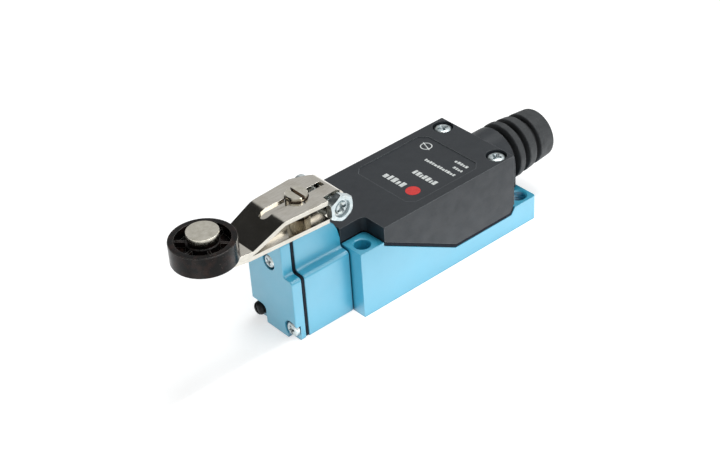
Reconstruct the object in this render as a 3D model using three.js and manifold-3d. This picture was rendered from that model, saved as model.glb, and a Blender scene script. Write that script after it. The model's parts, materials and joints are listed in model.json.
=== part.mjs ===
// Limit switch with an adjustable roller lever, in millimetres.
// +X runs from the actuator head towards the cable gland, +Z out of the cover, and the origin is
// the centre of the flat mounting face on the back of the base (Z = 0). The near side is -Y.
import * as THREE from 'three';
import { mergeVertices } from 'three/addons/utils/BufferGeometryUtils.js';
import Module from 'manifold-3d';

const wasm = await Module();
wasm.setup();

// ---------------------------------------------------------------- driving dimensions
const GAP = 0.15;                 // room left between two pieces that touch
const BODY_LENGTH = 63;           // die-cast base, head end to gland end
const BODY_WIDTH = 28;
const COVER_TOP = 24.3;
const WALL = 2.2;
const X0 = -BODY_LENGTH / 2;      // head-end face of the base
const X1 = BODY_LENGTH / 2;       // gland-end face of the base
const Y1 = BODY_WIDTH / 2;
const CORNER_R = 0.5;             // upright corners of base and cover

// Parting line between base and cover, seen from the side: high at the head, low at the gland.
const SEAM_HIGH = 19.2;
const SEAM_LOW = 5.5;
const SEAM_END = 7.5;             // top of the fixing flange beyond the cover
const SLOPE_TOP_X = -24.3;
const SLOPE_FOOT_X = 1.06;
const STEP_FOOT_X = 22.0;
const STEP_TOP_X = 23.4;
const SEAM_SPACE = 1.0;           // base to cover, filled by the gasket
const GASKET_THICKNESS = SEAM_SPACE - 2 * GAP;
const COVER_END_X = 23.1;

const EAR = { x1: -23.6, y1: -6.4, top: 19.9, corner: 1.4 };
const HOLE_X = 28;                // fixing holes, 56 x 21 mm pattern
const HOLE_Y = 10.5;
const CLEAR_HOLE_R = 2.15;
const TAPPED_HOLE_R = 2.25;
const BLIND_HOLE_DEPTH = 10;
const FLOOR = 3;
const CAVITY = { x0: -27.5, x1: 16.2, y: 11.7 };

const COVER_SCREW = {
  x: 19.9, y: 10.4, headR: 2.65, headHeight: 1.45, shankR: 1.5, tip: 2, sinkR: 2.95, sinkDepth: 1.95,
};
const COVER_PILLAR_R = 3.6;

// Actuator head: a block with a narrower tower, closed at the front by a cap. The head, the lever
// and the snap switch share a centre plane that lies off the body's own; their y is measured from it.
const MECHANISM_Y = -0.8;
const HEAD = { x0: -46.6, x1: -31.8, halfWidth: 8.97, shoulder: 19.2, towerHalf: 5.7, top: 28.95 };
const HEAD_GASKET_THICKNESS = 0.7;
const CAP_X0 = -50.7;
const CAP_X1 = HEAD.x0 - HEAD_GASKET_THICKNESS - 2 * GAP;
const CAP_SINK_X = CAP_X0 + 1.5;  // floor of the cap's screw recesses
const CHAMBER = { x1: -34.2, y: 5.4, z0: 4.6, z1: 18.6 };
const CAP_SCREWS = {
  cap_screw_top: { y: 0, z: 21.3, headR: 1.95, headHeight: 1.4, shankR: 1.2, tip: -44.6 },
  cap_screw_near: { y: -6.85, z: 3.4, headR: 2.1, headHeight: 1.4, shankR: 1.2, tip: -28.2 },
  cap_screw_far: { y: 6.2, z: 3.2, headR: 1.9, headHeight: 2.3, shankR: 1.15, tip: -28.2 },
};
const BLACK_NOTCH = { y0: 3.3, z1: 5.6, corner: 1.6 };

// Shaft, lever and roller.
const SHAFT = { x: -40.1, r: 3, z0: 2.4, z1: 37.2 };
const BUSH_R = 4.1;
const SHEET = 1.2;                // lever sheet thickness
const LEVER = { bottom: 29.4, top: 36, bendX: -32.05, kneeX: -49.3, toeX: -59.1, joined: 31.8 };
const LEVER_RADIUS = 29.0;        // shaft centre to roller centre
const ROLLER_X = SHAFT.x - LEVER_RADIUS;
const ROLLER = { r: 8.6, z0: 32.1, z1: 38.1, rimInner: 6.95, hubR: 4.3, boreR: 2.3, recess: 2.4 };
const RIVET = { headR: 4.15, headZ: 38.5, top: 40.35, shankR: 2, footR: 3.2, footZ0: 28.2 };
const BOLT = {
  x: -32.45, z: 32.55, headY: -6.3, headThickness: 2.1, cornerR: 3.92, shankR: 1.5, endY: 9.2,
};
const NUT = { y0: 7.1, y1: 8.8, r: 2.3 };

// Motion chain from the cam to the snap switch, all on one axis along X.
const CHAIN_Z = 11;
const CAM = { r: 4.9, flat: 3.7, z0: 8, z1: 14 };
const PLUNGER = { x0: -34.9, x1: -22.6, r: 1.9, flangeX0: -27.2, flangeX1: -26.2, flangeR: 3.4 };
const BUTTON = { x0: -22.3, x1: -12.5, r: 1.6 };

// Snap switch inside the base.
const CASE = { x0: -20, x1: 16, y: 7, z0: 3.3, z1: 16, stepX: 2, stepZ: 10 };
const POCKET = { x0: -17.6, x1: -5.5, y: 4.2, z0: 6.8 };

// Cable entry.
const GLAND_Z = 15.4;
const GLAND = { threadR: 5, x0: 16.6, x1: 37.5, boreR: 3.6 };
const GLAND_BOSS = { x1: 29.5, r: 8.2, bottom: 7.8 };
const BOOT = { x0: 29.7, x1: 46, boreR: 5.3, mouthR: 3.3, grooveR: 6.1, tipR: 7.15 };
const BOOT_RINGS = [[31.6, 8.3, 33.7, 8.3], [35.7, 8, 38.6, 7.75], [40.4, 7.55, 45.2, 7.2]];

// ---------------------------------------------------------------- materials
const finish = (color, roughness, metalness) =>
  new THREE.MeshStandardMaterial({ color, roughness, metalness });
const bluePaint = finish('#4fb4e0', 0.45, 0.1);
const blackPlastic = finish('#2b3034', 0.6, 0);
const glossPlastic = finish('#17110f', 0.3, 0);
const nickelSheet = finish('#b9b3a6', 0.28, 1);
const zinc = finish('#c3cfd0', 0.35, 1);
const steel = finish('#a8a69d', 0.4, 1);
const blackSteel = finish('#16181a', 0.4, 0.6);
const rubber = finish('#232425', 0.85, 0);
const sealRubber = finish('#151c28', 0.8, 0);
const brass = finish('#c69c4e', 0.35, 1);
const bakelite = finish('#5a2d1a', 0.5, 0);
const whitePlastic = finish('#dcd8cc', 0.5, 0);

// ---------------------------------------------------------------- solids
function solid(geometry) {
  const bare = geometry.clone();
  bare.deleteAttribute('normal');
  bare.deleteAttribute('uv');
  const merged = mergeVertices(bare, 1e-5);
  return new wasm.Manifold(new wasm.Mesh({
    numProp: 3,
    vertProperties: new Float32Array(merged.attributes.position.array),
    triVerts: new Uint32Array(merged.index.array),
  }));
}

function meshOf(name, shape, material) {
  const data = shape.getMesh();
  const geometry = new THREE.BufferGeometry();
  geometry.setAttribute('position', new THREE.BufferAttribute(new Float32Array(data.vertProperties), 3));
  geometry.setIndex(new THREE.BufferAttribute(new Uint32Array(data.triVerts), 1));
  geometry.computeVertexNormals();
  const mesh = new THREE.Mesh(geometry, material);
  mesh.name = name;
  return mesh;
}

function box(x0, x1, y0, y1, z0, z1) {
  const geometry = new THREE.BoxGeometry(x1 - x0, y1 - y0, z1 - z0);
  return solid(geometry.translate((x0 + x1) / 2, (y0 + y1) / 2, (z0 + z1) / 2));
}

// Cylinders along each axis; a and b are the two other coordinates of the axis, in x, y, z order.
function cylinderX(r, x0, x1, y, z, sides = 16) {
  const geometry = new THREE.CylinderGeometry(r, r, x1 - x0, sides).rotateZ(-Math.PI / 2);
  return solid(geometry.translate((x0 + x1) / 2, y, z));
}

function cylinderY(r, y0, y1, x, z, sides = 16) {
  return solid(new THREE.CylinderGeometry(r, r, y1 - y0, sides).translate(x, (y0 + y1) / 2, z));
}

function cylinderZ(r, z0, z1, x, y, sides = 16) {
  const geometry = new THREE.CylinderGeometry(r, r, z1 - z0, sides).rotateX(Math.PI / 2);
  return solid(geometry.translate(x, y, (z0 + z1) / 2));
}

const outline = (points) => new THREE.Shape(points.map(([a, b]) => new THREE.Vector2(a, b)));
const extrude = (shape, depth) =>
  new THREE.ExtrudeGeometry(shape, { depth, bevelEnabled: false, curveSegments: 2 });

// Prisms whose outline lies in the XY, XZ or YZ plane.
const prismXY = (shape, z0, z1) => solid(extrude(shape, z1 - z0).translate(0, 0, z0));
const prismXZ = (shape, y0, y1) =>
  solid(extrude(shape, y1 - y0).rotateX(Math.PI / 2).translate(0, y1, 0));
const cyclic = new THREE.Matrix4().makeBasis(
  new THREE.Vector3(0, 1, 0), new THREE.Vector3(0, 0, 1), new THREE.Vector3(1, 0, 0));
const prismYZ = (shape, x0, x1) =>
  solid(extrude(shape, x1 - x0).applyMatrix4(cyclic).translate(x0, 0, 0));

// Body of revolution about an axis along X; profile points are [x, radius].
function latheX(profile, y, z, sides = 22) {
  const points = profile.map(([x, r]) => new THREE.Vector2(r, x));
  const geometry = new THREE.LatheGeometry(points, sides);
  return solid(geometry.rotateZ(-Math.PI / 2).translate(0, y, z));
}

function roundedRectangle(a0, a1, b0, b1, r) {
  const shape = new THREE.Shape();
  shape.absarc(a1 - r, b0 + r, r, -Math.PI / 2, 0);
  shape.absarc(a1 - r, b1 - r, r, 0, Math.PI / 2);
  shape.absarc(a0 + r, b1 - r, r, Math.PI / 2, Math.PI);
  shape.absarc(a0 + r, b0 + r, r, Math.PI, 1.5 * Math.PI);
  return shape;
}

const cut = (shape, ...tools) => tools.reduce((rest, tool) => rest.subtract(tool), shape);
const join = (shape, ...others) => others.reduce((sum, other) => sum.add(other), shape);

// Helical spring along X, with the coil's middle radius and the wire's radius.
function springX(x0, x1, y, z, coilR, wireR, turns) {
  class Helix extends THREE.Curve {
    getPoint(t, target = new THREE.Vector3()) {
      const angle = t * turns * 2 * Math.PI;
      const x = x0 + wireR + t * (x1 - x0 - 2 * wireR);
      return target.set(x, y + coilR * Math.cos(angle), z + coilR * Math.sin(angle));
    }
  }
  const wire = new THREE.Shape().absarc(0, 0, wireR, 0, 2 * Math.PI);
  const steps = Math.round(turns * 9);
  const options = { steps, extrudePath: new Helix(), curveSegments: 2, bevelEnabled: false };
  return solid(new THREE.ExtrudeGeometry(wire, options));
}

// Pan head with a cross recess; its seat is at z = 0, the head above it and the shank below.
function panScrew({ headR, shankR }, headHeight, shankLength, recess = 'cross', sides = 16) {
  const profile = [
    [-shankLength, 0], [-shankLength, shankR * 0.75], [-shankLength + shankR * 0.4, shankR], [0, shankR],
    [0, headR], [headHeight * 0.55, headR], [headHeight * 0.88, headR * 0.8], [headHeight, headR * 0.45],
    [headHeight, 0],
  ];
  const body = solid(new THREE.LatheGeometry(profile.map(([z, r]) => new THREE.Vector2(r, z)), sides)
    .rotateX(Math.PI / 2));
  const arm = headR * (recess === 'cross' ? 0.55 : 1.2);
  const half = headR * 0.13;
  const depth = headHeight * 0.55;
  const slot = box(-arm, arm, -half, half, headHeight - depth, headHeight + 1);
  return recess === 'cross' ? cut(body, slot, slot.rotate([0, 0, 90])) : cut(body, slot);
}

// ---------------------------------------------------------------- housing
// The parting line raised by `offset`; each corner slides so that the sloping runs stay parallel.
function seamLine(offset) {
  const fall = Math.atan((SEAM_HIGH - SEAM_LOW) / (SLOPE_FOOT_X - SLOPE_TOP_X));
  const rise = Math.atan((SEAM_END - SEAM_LOW) / (STEP_TOP_X - STEP_FOOT_X));
  const slopeShift = offset * Math.tan(fall / 2);
  const stepShift = -offset * Math.tan(rise / 2);
  return [
    [X0 - 1, SEAM_HIGH + offset],
    [SLOPE_TOP_X + slopeShift, SEAM_HIGH + offset],
    [SLOPE_FOOT_X + slopeShift, SEAM_LOW + offset],
    [STEP_FOOT_X + stepShift, SEAM_LOW + offset],
    [STEP_TOP_X + stepShift, SEAM_END + offset],
    [X1 + 1, SEAM_END + offset],
  ];
}

const belowSeam = (offset) =>
  prismXZ(outline([[X0 - 1, -1], ...seamLine(offset), [X1 + 1, -1]].reverse()), -Y1 - 1, Y1 + 1);

function earPillar(clearance) {
  const shape = roundedRectangle(X0 - 3, EAR.x1 + clearance, -Y1 - 3, EAR.y1 + clearance, EAR.corner);
  return prismXY(shape, -1, COVER_TOP + 1);
}

function coverPlan(inset) {
  const plan = roundedRectangle(X0 + inset, COVER_END_X - inset, -Y1 + inset, Y1 - inset, CORNER_R);
  return cut(prismXY(plan, -1, COVER_TOP), earPillar(0.2 + inset));
}

function baseHousing() {
  const block = prismXY(roundedRectangle(X0, X1, -Y1, Y1, CORNER_R), 0, COVER_TOP);
  const slab = block.intersect(belowSeam(0));
  const ear = block.intersect(earPillar(0)).intersect(box(X0, X1, -Y1, Y1, 0, EAR.top));
  const cavity = cut(
    prismXY(roundedRectangle(CAVITY.x0, CAVITY.x1, -CAVITY.y, CAVITY.y, 1.5), FLOOR, COVER_TOP + 1),
    earPillar(WALL));
  let base = cut(join(slab, ear), cavity);
  const through = [
    [-HOLE_X, -HOLE_Y, CLEAR_HOLE_R],
    [HOLE_X, HOLE_Y, CLEAR_HOLE_R],
    [HOLE_X, -HOLE_Y, TAPPED_HOLE_R],
  ];
  for (const [x, y, r] of through) {
    base = cut(base, cylinderZ(r, -1, COVER_TOP, x, y));
  }
  base = cut(base, cylinderZ(TAPPED_HOLE_R, -1, BLIND_HOLE_DEPTH, -HOLE_X, HOLE_Y));
  for (const side of [-1, 1]) {
    const { x, y, shankR, tip } = COVER_SCREW;
    base = cut(base, cylinderZ(shankR + GAP, tip - 0.4, COVER_TOP, x, side * y));
  }
  for (const { y, z, shankR, tip } of [CAP_SCREWS.cap_screw_near, CAP_SCREWS.cap_screw_far]) {
    base = cut(base, cylinderX(shankR + GAP, X0 - 1, tip + 0.3, y + MECHANISM_Y, z));
  }
  for (const side of [-1, 1]) {
    const y = side * CASE_SCREW.y + MECHANISM_Y;
    const { x, shankR, tip } = CASE_SCREW;
    base = cut(base, cylinderZ(shankR + GAP, tip - 0.2, FLOOR + 1, x, y));
  }
  base = cut(base, cylinderZ(EARTH.shankR + GAP, EARTH.tip - 0.2, FLOOR + 1, EARTH.x, EARTH.y));
  return cut(base, cylinderX(PLUNGER.r + 0.3, X0 - 1, CAVITY.x0 + 1, MECHANISM_Y, CHAIN_Z));
}

function cover() {
  const ceiling = COVER_TOP - 2;
  let shell = cut(coverPlan(0), belowSeam(SEAM_SPACE));
  const hollow = coverPlan(WALL).intersect(box(X0, X1, -Y1, Y1, 0, ceiling));
  const pillars = [-1, 1].map((side) =>
    cylinderZ(COVER_PILLAR_R, 0, ceiling + 1, COVER_SCREW.x, side * COVER_SCREW.y));
  shell = cut(shell, cut(hollow, ...pillars));
  for (const side of [-1, 1]) {
    const y = side * COVER_SCREW.y;
    shell = cut(shell,
      cylinderZ(COVER_SCREW.sinkR, COVER_TOP - COVER_SCREW.sinkDepth, COVER_TOP + 1, COVER_SCREW.x, y),
      cylinderZ(COVER_SCREW.shankR + 0.3, 0, COVER_TOP, COVER_SCREW.x, y));
  }
  return cut(join(shell, glandBoss()), cylinderX(GLAND.threadR + 0.3, 18, GLAND_BOSS.x1 + 1, 0, GLAND_Z));
}

// Arched block on the gland end of the cover, standing on the fixing flange.
function glandBoss() {
  const { x1, r, bottom } = GLAND_BOSS;
  const corner = 1;
  const arch = new THREE.Shape();
  arch.moveTo(r, bottom + corner);
  arch.absarc(0, GLAND_Z, r, 0, Math.PI);
  arch.lineTo(-r, bottom + corner);
  arch.absarc(-r + corner, bottom + corner, corner, Math.PI, 1.5 * Math.PI);
  arch.absarc(r - corner, bottom + corner, corner, -0.5 * Math.PI, 0);
  const besideGasket = box(COVER_END_X - 2, COVER_END_X + GAP, -r - 1, r + 1, 0, SEAM_END + SEAM_SPACE);
  return cut(prismYZ(arch, COVER_END_X - 1, x1), besideGasket);
}

function coverGasket() {
  const strip = cut(belowSeam(SEAM_SPACE - GAP), belowSeam(GAP));
  const ring = cut(coverPlan(0.1), coverPlan(WALL));
  const pads = [-1, 1].map((side) =>
    cut(cylinderZ(COVER_PILLAR_R, 0, 9, COVER_SCREW.x, side * COVER_SCREW.y),
      cylinderZ(COVER_SCREW.shankR + 0.3, -1, 10, COVER_SCREW.x, side * COVER_SCREW.y)));
  const clearShanks = [-1, 1].map((side) =>
    cylinderZ(COVER_SCREW.shankR + 0.3, -1, 10, COVER_SCREW.x, side * COVER_SCREW.y));
  return cut(join(ring, ...pads), ...clearShanks).intersect(strip);
}

function coverScrew(side) {
  const seat = COVER_TOP - COVER_SCREW.sinkDepth + GAP;
  return panScrew(COVER_SCREW, COVER_SCREW.headHeight, seat - COVER_SCREW.tip)
    .rotate([0, 0, side * 20])
    .translate([COVER_SCREW.x, side * COVER_SCREW.y, seat]);
}

// ---------------------------------------------------------------- actuator head
function headSection(x0, x1, inset = 0) {
  const { halfWidth, shoulder, towerHalf, top } = HEAD;
  const lower = roundedRectangle(-halfWidth + inset, halfWidth - inset, inset, shoulder - inset, 1);
  const tower = roundedRectangle(-towerHalf + inset, towerHalf - inset, 5, top - inset, 0.8);
  return join(prismYZ(lower, x0, x1), prismYZ(tower, x0, x1));
}

function chamber(x0, x1, grow = 0) {
  const { y, z0, z1 } = CHAMBER;
  return prismYZ(roundedRectangle(-y - grow, y + grow, z0 - grow, z1 + grow, 1.2), x0, x1);
}

const screwHoles = (x0, x1) =>
  Object.values(CAP_SCREWS).map(({ y, z, shankR }) => cylinderX(shankR + GAP, x0, x1, y, z, 20));

function headBody() {
  const relief = new THREE.Shape([
    new THREE.Vector2(HEAD.x1, 21.8), new THREE.Vector2(HEAD.x1 - 0.7, 24.9),
    new THREE.Vector2(HEAD.x1 - 1.6, 26.9), new THREE.Vector2(HEAD.x1 - 3.5, HEAD.top + 0.01),
    new THREE.Vector2(HEAD.x1 + 1, HEAD.top + 1), new THREE.Vector2(HEAD.x1 + 1, 21.8),
  ]);
  const top = CAP_SCREWS.cap_screw_top;
  return cut(headSection(HEAD.x0, HEAD.x1),
    prismXZ(relief, -12, 12),
    chamber(HEAD.x0 - 1, CHAMBER.x1),
    cylinderX(top.shankR + GAP, HEAD.x0 - 1, top.tip + 0.2, top.y, top.z, 20),
    ...screwHoles(HEAD.x0 - 1, HEAD.x1 + 1).slice(1),
    cylinderX(PLUNGER.r + 0.3, CHAMBER.x1 - 1, HEAD.x1 + 1, 0, CHAIN_Z),
    cylinderZ(BUSH_R + GAP, CHAMBER.z1 - 1, HEAD.top + 1, SHAFT.x, 0),
    cylinderZ(SHAFT.r + GAP, SHAFT.z0 - 0.3, CHAMBER.z0 + 1, SHAFT.x, 0));
}

function headGasket() {
  const x0 = CAP_X1 + GAP;
  const x1 = HEAD.x0 - GAP;
  return cut(headSection(x0, x1, 0.15), chamber(x0 - 1, x1 + 1), ...screwHoles(x0 - 1, x1 + 1));
}

function headCap() {
  const { cap_screw_top: top, cap_screw_near: near } = CAP_SCREWS;
  const { y0, z1, corner } = BLACK_NOTCH;
  const notch = roundedRectangle(y0, HEAD.halfWidth + 4, -4, z1, corner);
  const nearSink = join(
    cylinderX(near.headR + 0.6, CAP_X0 - 1, CAP_SINK_X, near.y, near.z),
    box(CAP_X0 - 1, CAP_SINK_X, near.y - 4, near.y + near.headR * 0.8, -1, near.z - 1.6));
  return cut(headSection(CAP_X0, CAP_X1),
    cylinderX(top.headR + 0.45, CAP_X0 - 1, CAP_SINK_X, top.y, top.z),
    nearSink, prismYZ(notch, CAP_X0 - 1, CAP_SINK_X), ...screwHoles(CAP_X0 - 1, CAP_X1 + 1));
}

function capScrew(name) {
  const screw = CAP_SCREWS[name];
  const seat = CAP_SINK_X - GAP;
  const recess = name === 'cap_screw_far' ? 'slot' : 'cross';
  const body = panScrew(screw, screw.headHeight, screw.tip - seat, recess);
  const turned = name === 'cap_screw_far' ? body.rotate([0, 0, 25]) : body;
  return turned.rotate([0, -90, 0]).translate([seat, screw.y, screw.z]);
}

function headSeal() {
  const x0 = HEAD.x1 + 0.05;
  const x1 = X0 - 0.05;
  return cut(cylinderX(4.5, x0, x1, 0, CHAIN_Z), cylinderX(3, x0 - 1, x1 + 1, 0, CHAIN_Z));
}

// ---------------------------------------------------------------- shaft and cam
function leverShaft() {
  const body = cylinderZ(SHAFT.r, SHAFT.z0, SHAFT.z1, SHAFT.x, 0, 24);
  const slot = box(SHAFT.x - 0.5, SHAFT.x + 0.5, -4, 4, SHAFT.z1 - 1.1, SHAFT.z1 + 1);
  return cut(body, slot);
}

const tubeZ = (outer, inner, z0, z1, x, y, sides = 20) =>
  cut(cylinderZ(outer, z0, z1, x, y, sides), cylinderZ(inner, z0 - 1, z1 + 1, x, y, 20));

const bushTop = 27.9;
const shaftBush = () => tubeZ(BUSH_R, SHAFT.r + GAP, CHAMBER.z1 + 0.6, bushTop, SHAFT.x, 0);
const shaftSeal = () => tubeZ(BUSH_R, SHAFT.r + GAP, bushTop + GAP, HEAD.top, SHAFT.x, 0);

function shaftCam() {
  const flat = box(SHAFT.x + CAM.flat, SHAFT.x + CAM.r + 1, -6, 6, CAM.z0 - 1, CAM.z1 + 1);
  return cut(tubeZ(CAM.r, SHAFT.r + 0.1, CAM.z0, CAM.z1, SHAFT.x, 0), flat);
}

function plunger() {
  return join(cylinderX(PLUNGER.r, PLUNGER.x0, PLUNGER.x1, 0, CHAIN_Z),
    cylinderX(PLUNGER.flangeR, PLUNGER.flangeX0, PLUNGER.flangeX1, 0, CHAIN_Z));
}

// ---------------------------------------------------------------- lever and roller
// The strap is folded once round the clamp bolt; its two leaves meet in front of the knee.
function leverArm() {
  const { bottom, top, bendX, kneeX, toeX, joined } = LEVER;
  const middle = (bottom + top) / 2;
  const outerR = (top - bottom) / 2;
  const innerR = outerR - SHEET;
  const fall = Math.atan((top - joined) / (kneeX - toeX));
  const frontX = ROLLER_X - 8;
  const side = new THREE.Shape();
  side.moveTo(frontX, bottom);
  side.lineTo(bendX, bottom);
  side.absarc(bendX, middle, outerR, -Math.PI / 2, Math.PI / 2);
  side.lineTo(kneeX, top);
  side.lineTo(toeX, joined);
  side.lineTo(frontX, joined);
  const inside = new THREE.Path();
  inside.moveTo(bendX, bottom + SHEET);
  inside.absarc(bendX, middle, innerR, -Math.PI / 2, Math.PI / 2);
  inside.lineTo(kneeX + SHEET * Math.tan(fall / 2), top - SHEET);
  inside.lineTo(toeX + SHEET * Math.tan(fall / 2), joined - SHEET);
  side.holes.push(inside);

  const noseR = 4;
  const neckX = -60;
  const neckHalf = 5.95;
  const plan = new THREE.Shape();
  plan.absarc(ROLLER_X, 0, noseR, 0.5 * Math.PI, 1.5 * Math.PI);
  plan.lineTo(neckX, -neckHalf);
  plan.lineTo(bendX - 3.9, -7.4);
  plan.lineTo(bendX - 3.7, -5.2);
  plan.lineTo(bendX + 0.5, -4.9);
  plan.lineTo(bendX + 5, -4.9);
  plan.lineTo(bendX + 5, 4.9);
  plan.lineTo(bendX + 0.9, 4.9);
  plan.lineTo(bendX - 2.75, 6.6);
  plan.lineTo(bendX - 4.6, 7.35);
  plan.lineTo(neckX, neckHalf);

  const slitHalf = 0.95;
  const slotHalf = 1.5;
  const slotEndX = SHAFT.x - 10;
  return cut(prismXZ(side, -10, 10).intersect(prismXY(plan, bottom - 1, top + 1)),
    cylinderZ(SHAFT.r + GAP, bottom - 1, top + 1, SHAFT.x, 0, 24),
    cylinderZ(RIVET.shankR + GAP, bottom - 1, top + 1, ROLLER_X, 0),
    box(SHAFT.x, bendX + 0.3, -slitHalf, slitHalf, bottom - 1, top + 1),
    box(slotEndX, SHAFT.x, -slotHalf, slotHalf, middle, top + 1),
    cylinderZ(slotHalf, middle, top + 1, slotEndX, 0, 16));
}

function hexPrismY(y0, y1, x, z, corners) {
  return solid(new THREE.CylinderGeometry(corners, corners, y1 - y0, 6).translate(x, (y0 + y1) / 2, z));
}

function clampBolt() {
  const { x, z, headY, headThickness, cornerR, shankR, endY } = BOLT;
  const dish = cylinderY(2.4, headY - headThickness - 1, headY - headThickness + 0.5, x, z);
  const head = cut(hexPrismY(headY - headThickness, headY, x, z, cornerR), dish);
  const boss = cylinderY(1.7, headY - headThickness + 0.2, headY - headThickness + 1, x, z);
  return join(head, boss, cylinderY(shankR, headY - 0.1, endY, x, z));
}

function clampNut() {
  const nut = cylinderY(NUT.r, NUT.y0, NUT.y1, BOLT.x, BOLT.z, 24);
  return cut(nut, cylinderY(BOLT.shankR + GAP, NUT.y0 - 1, NUT.y1 + 1, BOLT.x, BOLT.z));
}

function rollerRivet() {
  const { headR, headZ, top, shankR, footR, footZ0 } = RIVET;
  const points = [
    [0, footZ0], [footR - 0.3, footZ0], [footR, footZ0 + 0.3], [footR, LEVER.bottom - GAP],
    [shankR, LEVER.bottom - GAP], [shankR, headZ], [headR, headZ], [headR, top - 0.25],
    [headR - 0.25, top], [0, top],
  ].map(([r, z]) => new THREE.Vector2(r, z));
  return solid(new THREE.LatheGeometry(points, 20).rotateX(Math.PI / 2).translate(ROLLER_X, 0, 0));
}

function roller() {
  const { r, z0, z1, rimInner, hubR, boreR, recess } = ROLLER;
  const ring = (zLow, zHigh) => tubeZ(rimInner, hubR, zLow, zHigh, ROLLER_X, 0);
  const ribs = [];
  const ribCount = 6;
  for (let i = 0; i < ribCount; i += 1) {
    const rib = box(hubR - 0.4, rimInner + 0.3, -0.45, 0.45, z0 + 1, z1 - 0.9);
    ribs.push(rib.rotate([0, 0, (i * 360) / ribCount]).translate([ROLLER_X, 0, 0]));
  }
  const wheel = cut(tubeZ(r, boreR, z0, z1, ROLLER_X, 0, 32),
    ring(z1 - recess, z1 + 1),
    ring(z0 - 1, z0 + 0.8));
  return join(wheel, ...ribs);
}

// ---------------------------------------------------------------- snap switch
const CASE_SCREW = { x: -1.6, y: 4.6, headR: 1.9, shankR: 1.1, tip: 1.2 };
const EARTH = { x: 9, y: 9.5, headR: 1.9, shankR: 1.1, tip: 1.2 };
const TERMINALS = [[6, -3.6], [6, 3.6], [12.4, -3.6], [12.4, 3.6]];
const TERMINAL = { half: 2.7, z0: CASE.stepZ + GAP, thickness: 0.8 };
const TERMINAL_SCREW = { headR: 2.1, shankR: 1.15, tip: 5.5 };

function switchCase() {
  const { x0, x1, y, z0, z1, stepX, stepZ } = CASE;
  const profile = outline([[x0, z0], [x1, z0], [x1, stepZ], [stepX, stepZ], [stepX, z1], [x0, z1]]);
  let body = cut(prismXZ(profile, -y, y),
    box(POCKET.x0, POCKET.x1, -POCKET.y, POCKET.y, POCKET.z0, z1 + 1),
    cylinderX(BUTTON.r + 0.2, x0 - 1, POCKET.x0 + 1, 0, CHAIN_Z, 16));
  for (const side of [-1, 1]) {
    body = cut(body, cylinderZ(CASE_SCREW.shankR + GAP, 0, z1 + 1, CASE_SCREW.x, side * CASE_SCREW.y));
  }
  for (const [tx, ty] of TERMINALS) {
    body = cut(body, cylinderZ(TERMINAL_SCREW.shankR + GAP, 5, stepZ + 1, tx, ty));
  }
  return body;
}

const switchLid = () =>
  box(CASE.x0 + 0.3, POCKET.x1 + 1.4, -CASE.y + 0.3, CASE.y - 0.3, CASE.z1 + GAP, CASE.z1 + 1.4);

function upright(screw, seat, headHeight) {
  return panScrew(screw, headHeight, seat - screw.tip, 'slot', 12).translate([screw.x, screw.y, seat]);
}

function terminalPlate(x, y) {
  const { half, z0, thickness } = TERMINAL;
  return cut(box(x - half, x + half, y - half, y + half, z0, z0 + thickness),
    cylinderZ(TERMINAL_SCREW.shankR + GAP, z0 - 1, z0 + 2, x, y));
}

// The contact bridge is carried by the button, which reaches through the case wall.
function switchButton() {
  return cylinderX(BUTTON.r, BUTTON.x0, BUTTON.x1, 0, CHAIN_Z, 16);
}

function contactBridge() {
  const ring = cut(box(-14.6, -13.8, -3.8, 3.8, CHAIN_Z - 1.9, CHAIN_Z + 1.9),
    cylinderX(BUTTON.r + 0.1, -16, -12, 0, CHAIN_Z, 16));
  const pads = [-2.9, 2.9].map((y) => cylinderX(0.7, -15.1, -13.3, y, CHAIN_Z, 16));
  return join(ring, ...pads);
}

// ---------------------------------------------------------------- cable entry
function glandBody() {
  const { threadR, x0, x1, boreR } = GLAND;
  return latheX([[x0, boreR], [x0, threadR], [x1, threadR], [x1, boreR], [x0, boreR]], 0, GLAND_Z);
}

function glandNut() {
  const hex = new THREE.CylinderGeometry(6.55, 6.55, 2.6, 6).rotateY(Math.PI / 6).rotateZ(-Math.PI / 2);
  hex.translate(19.2, 0, GLAND_Z);
  return cut(solid(hex), cylinderX(GLAND.threadR + GAP, 17, 22, 0, GLAND_Z));
}

function glandSeal() {
  const profile = [[29, 2.3], [29, 3.4], [36.5, 3.4], [36.5, 2.3], [29, 2.3]];
  return latheX(profile, 0, GLAND_Z, 24);
}

function cableBoot() {
  const { x0, x1, boreR, mouthR, grooveR, tipR } = BOOT;
  const profile = [[x0, boreR], [x0, grooveR]];
  for (const [start, startR, end, endR] of BOOT_RINGS) {
    profile.push([start, grooveR], [start, startR], [end, endR], [end, grooveR]);
  }
  profile.pop();
  profile.push([x1, tipR - 0.7], [x1, mouthR]);
  profile.push([GLAND.x1 + 0.4, mouthR], [GLAND.x1 + 0.4, boreR], [x0, boreR]);
  return latheX(profile, 0, GLAND_Z);
}

// ---------------------------------------------------------------- assembly
const group = new THREE.Group();
const mechanism = new THREE.Group();
mechanism.position.y = MECHANISM_Y;
group.add(mechanism);

group.add(
  meshOf('base_housing', baseHousing(), bluePaint),
  meshOf('cover', cover(), blackPlastic),
  meshOf('cover_gasket', coverGasket(), sealRubber),
  meshOf('cover_screw_near', coverScrew(-1), zinc),
  meshOf('cover_screw_far', coverScrew(1), zinc),
  meshOf('earth_screw', upright(EARTH, FLOOR + GAP, 1.4), brass),
  meshOf('gland_body', glandBody(), blackPlastic),
  meshOf('gland_nut', glandNut(), blackPlastic),
  meshOf('gland_seal', glandSeal(), sealRubber),
  meshOf('cable_boot', cableBoot(), rubber),
);

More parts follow.
